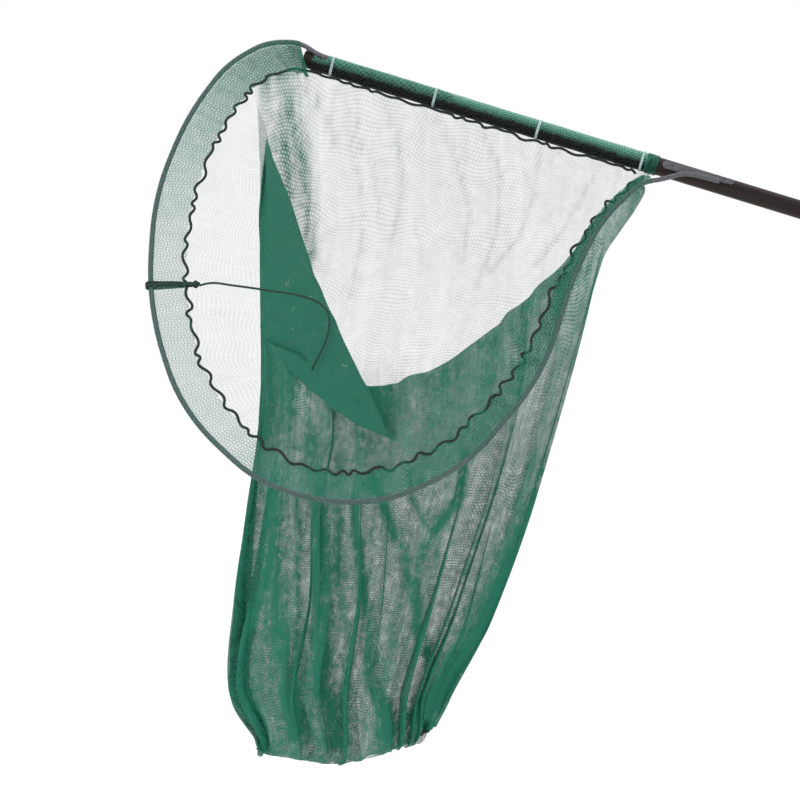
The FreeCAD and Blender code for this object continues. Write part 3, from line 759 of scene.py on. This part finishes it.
knot_points = []
for step in range(KNOT_STEPS + 1):
    turn = 4 * math.pi * step / KNOT_STEPS
    ring = 3.1 + 1.9 * math.cos(1.5 * turn)
    spot = Vector((ring * math.cos(turn), 2.4 * math.sin(1.5 * turn), ring * math.sin(turn)))
    knot_points.append(KNOT_PLACE + spot * MM)
knot = new_object("tie_cord_hard_knot", cord_curve([knot_points], TWINE_RADIUS), twine)
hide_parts("tie_cord_knot")

# ---------- bag
# One long tube of the net, laced to the border in front and to the sleeve along the pole. Its
# front third folds back over itself as it drops from the bow, and the rest hangs plumb in deep
# uneven folds to the gathered end.

# How much of the net is thread, from the mouth down, as (how far down the line, share). A single
# stretched layer is nearly clear, and the folded and gathered net below is dense.
BACK = ((0, 0.2), (4, 0.17), (4.7, 0.4), (5, 0.54), (6, 0.6), (9, 0.7), (10, 0.9))
FRONT = (
    (0, 0.75), (0.3, 0.42), (0.7, 0.34), (1.1, 0.52), (2.2, 0.64), (3, 0.58), (4, 0.6), (5, 0.66),
    (9, 0.72), (10, 0.9),
)
TOP = (
    (0, 0.7), (0.5, 0.36), (1, 0.34), (1.85, 0.42), (2.1, 1.5), (3, 1.6), (4, 1.3), (5, 0.8), (9, 0.74),
    (10, 0.9),
)
LEFT = (
    (0, 0.12), (1, 0.1), (1.85, 0.14), (2.1, 1.5), (3, 1.6), (4, 1.3), (4.6, 1.0), (5, 0.82), (6, 0.74),
    (9, 0.72), (10, 0.9),
)
RIGHT = ((0, 0.58), (3.8, 0.68), (4.2, 0.78), (5, 0.56), (9, 0.68), (10, 0.9))
CORNER = ((0, 0.8), (2, 0.72), (3.6, 0.6), (4.4, 0.55), (6, 0.6), (9, 0.7), (10, 0.9))
# Lines down the bag, each from a place on the mouth: mm along the pole, or a share of the bow's
# edge. Then come its cover and its points, as mm along the pole, down from it and forward of it.
BAG_LINES = (
    ("pole", 575, BACK, ((571, 59, 11), (573, 104, 11), (567, 161, 16), (559, 223, 23),
     (559, 349, 43), (566, 538, 86), (566, 754, 118), (542, 924, 138), (532, 984, 147))),
    ("pole", 443, BACK, ((480, 84, -2), (500, 164, 0), (510, 266, 8), (516, 350, 20),
     (528, 468, 40), (528, 622, 76), (530, 792, 104), (518, 938, 124), (512, 1008, 140))),
    ("pole", 285, BACK, ((318, 116, 0), (344, 212, 4), (364, 312, 16), (374, 394, 24),
     (400, 526, 44), (416, 666, 76), (432, 822, 104), (444, 962, 124), (462, 1044, 150))),
    ("pole", 147, BACK, ((180, 124, -2), (208, 236, 2), (234, 352, 12), (254, 442, 22),
     (282, 562, 44), (312, 700, 76), (346, 850, 104), (370, 986, 124), (408, 1072, 156))),
    ("pole", 36, BACK, ((68, 140, 0), (100, 252, 4), (130, 366, 12), (158, 462, 24),
     (194, 590, 50), (224, 726, 80), (258, 878, 110), (288, 1012, 130), (346, 1084, 160))),
    ("bow", 0.008, FRONT, ((16, 138, 8), (54, 268, 12), (86, 380, 20), (114, 476, 32),
     (152, 604, 58), (180, 740, 88), (214, 892, 116), (246, 1026, 136), (308, 1088, 164))),
    ("bow", 0.031, TOP, ((-20, 152, 40), (14, 264, 40), (44, 358, 44), (80, 470, 56),
     (126, 612, 76), (152, 740, 100), (184, 900, 124), (224, 1032, 140), (280, 1084, 172))),
    ("bow", 0.05, LEFT, ((-42, 100, 72), (-10, 146, 66), (-4, 196, 42), (72, 442, 52),
     (126, 608, 78), (152, 736, 100), (186, 896, 128), (224, 1030, 140), (282, 1084, 172))),
    ("bow", 0.096, LEFT, ((-48, 146, 98), (8, 170, 90), (6, 232, 44), (62, 406, 50),
     (124, 604, 80), (150, 732, 104), (184, 892, 130), (222, 1026, 142), (284, 1086, 176))),
    ("bow", 0.178, LEFT, ((-12, 254, 160), (72, 244, 130), (46, 350, 60), (90, 484, 70),
     (128, 602, 90), (156, 722, 110), (188, 882, 140), (224, 1022, 150), (292, 1086, 180))),
    ("bow", 0.255, LEFT, ((42, 364, 224), (146, 338, 184), (74, 438, 80), (110, 496, 100),
     (156, 602, 140), (182, 712, 160), (218, 868, 184), (248, 1010, 190), (316, 1086, 200))),
    ("bow", 0.321, LEFT, ((102, 442, 268), (212, 408, 222), (104, 472, 110), (142, 472, 150),
     (198, 588, 170), (224, 714, 184), (260, 854, 204), (290, 996, 210), (344, 1082, 204))),
    ("bow", 0.405, LEFT, ((168, 510, 320), (266, 462, 264), (174, 510, 170), (192, 482, 180),
     (240, 574, 190), (258, 702, 200), (304, 838, 220), (332, 980, 220), (378, 1078, 204))),
    ("bow", 0.477, LEFT, ((254, 560, 356), (320, 512, 300), (248, 538, 220), (240, 486, 204),
     (276, 562, 204), (300, 690, 210), (340, 826, 230), (368, 968, 224), (406, 1070, 204))),
    ("bow", 0.545, LEFT, ((336, 590, 380), (360, 552, 340), (312, 550, 260), (286, 486, 216),
     (314, 550, 216), (344, 676, 216), (382, 812, 236), (406, 956, 230), (436, 1060, 204))),
    ("bow", 0.61, RIGHT, ((392, 564, 364), (374, 546, 330), (354, 512, 264), (334, 462, 216),
     (360, 536, 210), (392, 660, 216), (420, 800, 236), (440, 944, 230), (468, 1042, 204))),
    ("bow", 0.665, RIGHT, ((436, 492, 310), (418, 468, 280), (402, 440, 240), (386, 418, 204),
     (414, 520, 200), (438, 646, 210), (456, 790, 224), (468, 936, 220), (492, 1024, 200))),
    ("bow", 0.738, RIGHT, ((488, 386, 250), (468, 368, 224), (452, 354, 200), (440, 348, 180),
     (476, 484, 180), (488, 630, 196), (496, 778, 210), (496, 930, 204), (510, 1012, 190))),
    ("bow", 0.834, RIGHT, ((516, 262, 180), (506, 254, 164), (500, 250, 150), (498, 250, 136),
     (538, 430, 144), (548, 630, 170), (542, 782, 184), (524, 930, 184), (528, 1000, 176))),
    ("bow", 0.937, RIGHT, ((556, 124, 92), (558, 126, 84), (564, 128, 76), (568, 140, 64),
     (582, 366, 90), (584, 594, 130), (574, 790, 156), (542, 936, 160), (540, 984, 160))),
    ("bow", 1.0, CORNER, ((610, 48, 16), (604, 78, 16), (592, 116, 20), (578, 168, 24),
     (572, 298, 44), (582, 502, 90), (582, 738, 124), (552, 918, 144), (540, 974, 150))),
)
# The mouth's edge along the pole, and the gaps to the bow's ends.
POLE_FRONT = 30.0
POLE_REAR = 603.0
FRONT_GAP = 40.0
REAR_GAP = 32.0
FROM_POLE = (17.4, 4.0)
BEHIND_BORDER = 2.4
BAG_COLUMN = 6.0
ROW_STEPS = (5, 8, 9, 8, 10, 14, 14, 14, 10, 7)
LEAST_STEP = 3
# The closed end: where its seam lies, how much of the way each line goes to it, and its drop.
CLOSED_FORWARD = 178
CLOSED_SHARE = 0.92
CLOSED_DROP = 14
pole_run = POLE_REAR - POLE_FRONT
mouth_round = pole_run + FRONT_GAP + mouth_edge.length + REAR_GAP


def to_net(point):
    """A point in mm of the net's own frame."""
    out = point - FRONT_END
    return np.array([out.dot(ALONG), out.dot(DOWN), out.dot(FORWARD)]) / MM


def mouth_point(place):
    """The mouth's edge at a place round it, from the rear of the pole forward and round the bow."""
    pole_rear = np.array([POLE_REAR, *FROM_POLE])
    pole_front = np.array([POLE_FRONT, *FROM_POLE])
    bow_front = to_net(in_bow(*mouth_edge.at(0), BEHIND_BORDER))
    bow_rear = to_net(in_bow(*mouth_edge.at(mouth_edge.length), BEHIND_BORDER))
    if place < pole_run:
        return pole_rear + (pole_front - pole_rear) * place / pole_run
    place -= pole_run
    if place < FRONT_GAP:
        return pole_front + (bow_front - pole_front) * place / FRONT_GAP
    place -= FRONT_GAP
    if place < mouth_edge.length:
        return to_net(in_bow(*mouth_edge.at(place), BEHIND_BORDER))
    return bow_rear + (pole_rear - bow_rear) * (place - mouth_edge.length) / REAR_GAP


def smooth_between(places, values, wanted):
    """Values at the wanted places on a smooth line that never swings past its own points."""
    places = np.asarray(places, float)
    values = np.asarray(values, float)
    steps = np.diff(places)
    slopes = np.diff(values) / steps
    tangents = np.zeros_like(values)
    tangents[0], tangents[-1] = slopes[0], slopes[-1]
    for n in range(1, len(values) - 1):
        before, after = slopes[n - 1], slopes[n]
        if before * after > 0:
            first, second = 2 * steps[n] + steps[n - 1], steps[n] + 2 * steps[n - 1]
            tangents[n] = (first + second) / (first / before + second / after)
    index = np.clip(np.searchsorted(places, wanted, side="right") - 1, 0, len(steps) - 1)
    step = steps[index]
    t = (np.asarray(wanted) - places[index]) / step
    return (
        (1 + 2 * t) * (1 - t) ** 2 * values[index] + t * (1 - t) ** 2 * step * tangents[index]
        + t ** 2 * (3 - 2 * t) * values[index + 1] + t ** 2 * (t - 1) * step * tangents[index + 1]
    )


key_places = []
for side, spot, _, _ in BAG_LINES:
    on_bow = pole_run + FRONT_GAP + mouth_edge.length * spot
    key_places.append(POLE_REAR - spot if side == "pole" else on_bow)
columns = round(mouth_round / BAG_COLUMN)
column_places = mouth_round * np.arange(columns) / columns
keys = np.array(key_places)
around = np.concatenate([keys[-4:] - mouth_round, keys, keys[:4] + mouth_round])
levels = len(BAG_LINES[0][3]) + 1


def round_mouth(values):
    """Values given at the bag's lines, at every column round the mouth."""
    ringed = np.concatenate([values[-4:], values, values[:4]])
    return smooth_between(around, ringed, column_places)


level_points = np.zeros((levels + 1, columns, 3))
for column, place in enumerate(column_places):
    level_points[0, column] = mouth_point(place)
for level in range(1, levels):
    for axis in range(3):
        level_points[level, :, axis] = round_mouth([line[3][level - 1][axis] for line in BAG_LINES])
level_points[levels] = level_points[levels - 1]
level_points[levels, :, 2] += (CLOSED_FORWARD - level_points[levels, :, 2]) * CLOSED_SHARE
level_points[levels, :, 1] += CLOSED_DROP

rows = sum(ROW_STEPS) + 1
wanted_rows = []
for level, count in enumerate(ROW_STEPS):
    wanted_rows += [level + step / count for step in range(count)]
wanted_rows.append(levels)
wanted_rows = np.array(wanted_rows)
bag_points = np.zeros((rows, columns, 3))
bag_covers = np.zeros((rows, columns))
for column in range(columns):
    steps = np.linalg.norm(np.diff(level_points[:, column], axis=0), axis=1)
    downward = np.concatenate([[0], np.cumsum(np.maximum(steps, LEAST_STEP))])
    wanted = np.interp(wanted_rows, np.arange(levels + 1), downward)
    for axis in range(3):
        bag_points[:, column, axis] = smooth_between(downward, level_points[:, column, axis], wanted)

line_covers = [np.interp(wanted_rows, *zip(*line[2])) for line in BAG_LINES]
for row_index in range(rows):
    bag_covers[row_index] = round_mouth([cover[row_index] for cover in line_covers])

# Folds: none at the mouth, deepest in the lower half, and drawn in again at the closed end.
FOLD_LEVELS = (0, 0.6, 2, 3, 4, 5, 6, 8, 9.2, 10)
FOLD_DEPTHS = (0, 1, 1, 2, 4, 11, 16, 17, 11, 4)
FOLD_COUNTS = (9, 13, 16, 21, 27, 34, 43)
FOLD_MIX = 0.42
SIDEWAYS_SHARE = 0.75
chance = random.Random(41)
FOLDS = [(count, chance.uniform(0, 6.28), chance.uniform(0.6, 1.2)) for count in FOLD_COUNTS]
WANDERS = [(count, chance.uniform(0, 6.28), chance.uniform(-0.9, 0.9)) for count in (2, 3, 5, 8)]
ring = 2 * math.pi * column_places / mouth_round
next_points = np.roll(bag_points, -3, axis=1) - np.roll(bag_points, 3, axis=1)
row_ways = np.gradient(bag_points, axis=0)
out_ways = np.cross(next_points, row_ways)
out_ways /= np.maximum(np.linalg.norm(out_ways, axis=2, keepdims=True), 1e-6)
side_ways = next_points / np.maximum(np.linalg.norm(next_points, axis=2, keepdims=True), 1e-6)
fold_depth = np.interp(wanted_rows, FOLD_LEVELS, FOLD_DEPTHS)
depth_now = np.zeros((rows, columns))
slide_now = np.zeros((rows, columns))
for row_index, level in enumerate(wanted_rows):
    wander = sum(0.5 * np.sin(count * ring + phase + swing * level) for count, phase, swing in WANDERS)
    wave = np.zeros(columns)
    slide = np.zeros(columns)
    for count, phase, weight in FOLDS:
        turn = count * ring + phase + 2.6 * wander + 0.35 * level * math.sin(1.7 * count)
        weight = weight / (1 + (count - 9) * 0.06)
        wave += weight * np.sin(turn)
        slide += weight * np.cos(turn)
    depth_now[row_index] = wave * FOLD_MIX
    slide_now[row_index] = slide * FOLD_MIX
bag_points += out_ways * (depth_now * fold_depth[:, None])[:, :, None]
bag_points += side_ways * (slide_now * fold_depth[:, None] * SIDEWAYS_SHARE)[:, :, None]
# Sharp creases that the weight of the net sets in its front wall, each as its half width, how
# much it thickens the net, and its line, as (along the pole, down from it).
CREASES = (
    (16, 0.5, ((180, 678), (206, 752), (230, 812), (270, 902), (298, 976), (342, 1054))),
    (13, 0.5, ((222, 596), (262, 684), (308, 804), (356, 958), (414, 1048))),
    (9, 0.5, ((336, 628), (368, 660), (424, 726), (468, 804), (486, 848), (516, 886))),
    (8, 0.45, ((316, 668), (360, 754), (406, 858), (432, 934), (476, 990), (514, 988))),
    (22, 0.5, ((588, 532), (586, 632), (570, 772), (546, 880), (522, 962), (486, 1008))),
    (6, 0.6, ((210, 776), (220, 850), (216, 902), (216, 952), (232, 1006), (278, 1064))),
    (7, 0.6, ((468, 544), (480, 616), (452, 684), (450, 742), (458, 790))),
    (5, 0.5, ((390, 594), (408, 638), (436, 664), (468, 640), (478, 596))),
    (6, 0.35, ((228, 696), (264, 786), (296, 910), (332, 1000))),
    (6, 0.35, ((302, 688), (332, 796), (380, 882), (392, 980), (400, 1058))),
)
# The back wall's creases, near the pole and behind the long fold.
BACK_CREASES = (
    (14, 0.45, ((-28, 36), (2, 82), (38, 140), (74, 218), (114, 322))),
    (10, 0.3, ((-48, 50), (-18, 96), (14, 156), (44, 218))),
    (4, 0.14, ((56, 28), (108, 76), (164, 138), (200, 212))),
    (5, 0.2, ((6, 38), (56, 74), (102, 130))),
    (4, 0.12, ((138, 24), (192, 84), (224, 162), (232, 246))),
    (4, 0.13, ((230, 24), (284, 74), (342, 160), (356, 248))),
    (4, 0.12, ((316, 22), (370, 82), (394, 170), (392, 284))),
    (4, 0.14, ((420, 24), (436, 96), (434, 176), (406, 246))),
    (4, 0.12, ((526, 26), (512, 92), (494, 166), (468, 226))),
    (4, 0.1, ((98, 78), (152, 168), (184, 262), (196, 362))),
)
# Front creases start this far forward and this far down the lines. Back ones lie behind BACK_WALL.
FRONT_WALL = 110
FRONT_BLEND = 25
FRONT_LEVEL = 3.6
BACK_WALL = 30
BACK_BLEND = 8
CREASE_HEIGHT = 9
in_front = np.clip((bag_points[:, :, 2] - FRONT_WALL) / FRONT_BLEND, 0, 1)
in_front *= np.clip(wanted_rows - FRONT_LEVEL, 0, 1)[:, None]
at_back = np.clip((BACK_WALL - bag_points[:, :, 2]) / BACK_BLEND, 0, 1)
at_back *= np.clip(wanted_rows * 3, 0, 1)[:, None]
creased = np.zeros((rows, columns))
all_creases = [(in_front, *crease) for crease in CREASES]
all_creases += [(at_back, *crease) for crease in BACK_CREASES]
for wall, half_width, strength, line in all_creases:
    nearest = np.full((rows, columns), 1e6)
    for first, second in zip(line, line[1:]):
        first, run = np.array(first), np.array(second) - np.array(first)
        share = np.clip(((bag_points[:, :, :2] - first) @ run) / (run @ run), 0, 1)
        gap = np.linalg.norm(bag_points[:, :, :2] - first - share[:, :, None] * run, axis=2)
        nearest = np.minimum(nearest, gap)
    creased = np.maximum(creased, strength * np.exp(-((nearest / half_width) ** 2)) * wall)
bag_covers += creased
bag_points[:, :, 2] += creased * CREASE_HEIGHT
# The closed end's front corner is drawn into its knot, which the net lifts a little.
TUFT_LIFT = 0.012
low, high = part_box("bag_end_knot")
tuft_middle = (Vector(low) + Vector(high)) / 2 + Vector((0, 0, TUFT_LIFT))
to_tuft = to_net(tuft_middle) - bag_points
TUFT_PULL = 62.0
pull = np.clip(1 - np.linalg.norm(to_tuft, axis=2) / TUFT_PULL, 0, 1) ** 1.5
bag_points += to_tuft * (pull * 0.95)[:, :, None]
bag_covers += pull * 0.3
# The lacing's stitches pucker the first rows.
PUCKER_LEVELS = (0, 0.25, 0.9)
PUCKER_DEPTHS = (0.6, 2.4, 0)
pucker = np.interp(wanted_rows, PUCKER_LEVELS, PUCKER_DEPTHS)
stitched = np.sin(2 * math.pi * column_places / STITCH_PITCH + 2 * np.sin(5 * ring))
bag_points += out_ways * (pucker[:, None] * stitched[None, :])[:, :, None]
bag_covers *= 1 + 0.2 * np.clip(depth_now, -1, 1) * np.clip(wanted_rows - 3.5, 0, 1)[:, None]

down_lengths = np.linalg.norm(np.diff(bag_points, axis=0), axis=2).mean(axis=1)
down_places = np.concatenate([[0], np.cumsum(down_lengths)]) * MM
net_to_world = np.array([tuple(ALONG), tuple(DOWN), tuple(FORWARD)]) * MM
world_points = bag_points @ net_to_world + np.array(tuple(FRONT_END))
# The rows of holes wander by a few millimetres, as knitted net does once it has been used.
ring_places = mouth_round * np.arange(columns + 1) / columns * MM
grid = []
for down_place, spots, covers in zip(down_places, world_points, bag_covers):
    wobble = 0.004 * np.sin(ring_places * 31 + down_place * 12)
    wobble += 0.003 * np.sin(ring_places * 67 - down_place * 41)
    drift = 0.005 * np.sin(down_place * 23 + ring_places * 9)
    uvs = zip(ring_places + drift, down_place + wobble)
    grid.append(list(zip([*spots, spots[0]], uvs, [*covers, covers[0]])))
# The bag's net is painted grey-green where it is single, as light spilling round its threads, and a
# fuller green where it is gathered, partly as shade between its layers.
bag_net = net_material("bag_net", "#35605A", "#14594A", "#1A6B55", uneven_by=0.5, wrinkle_shade_by=0.12)
bag = new_object("hanging_net_bag", sheet_mesh(grid, closed=True), bag_net)
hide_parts("net_bag")

# ---------- knot at the bag's closed end
# The last of the net is gathered into a small hard tuft, so its threads stand in tight ribs. It
# closes the bag's lower front corner, and is a little flattened.
TUFT_RADIUS = 6.4
TUFT_RIBS = 11
RIB_DEPTH = 0.16
TUFT_FLATNESS = 0.18
TUFT_ROWS = 24
TUFT_COLUMNS = 66
TUFT_COVER = 0.9
grid = []
for step in range(TUFT_ROWS + 1):
    fall = math.pi * (0.03 + 0.94 * step / TUFT_ROWS)
    grid.append([])
    for part in range(TUFT_COLUMNS + 1):
        turn = 2 * math.pi * part / TUFT_COLUMNS
        rib = RIB_DEPTH * abs(math.sin(TUFT_RIBS / 2 * turn + fall))
        out = TUFT_RADIUS * (1 - rib * math.sin(fall)) * math.sin(fall)
        out *= 1.0 - TUFT_FLATNESS * math.cos(2 * turn)
        spot = Vector((out * math.cos(turn), out * math.sin(turn), TUFT_RADIUS * math.cos(fall)))
        uv = (TUFT_RADIUS * turn * MM, TUFT_RADIUS * fall * MM)
        grid[-1].append((tuft_middle + spot * MM, uv, TUFT_COVER))
tuft = new_object("bag_end_tuft", sheet_mesh(grid, closed=True), bag_net)
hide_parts("bag_end_knot")
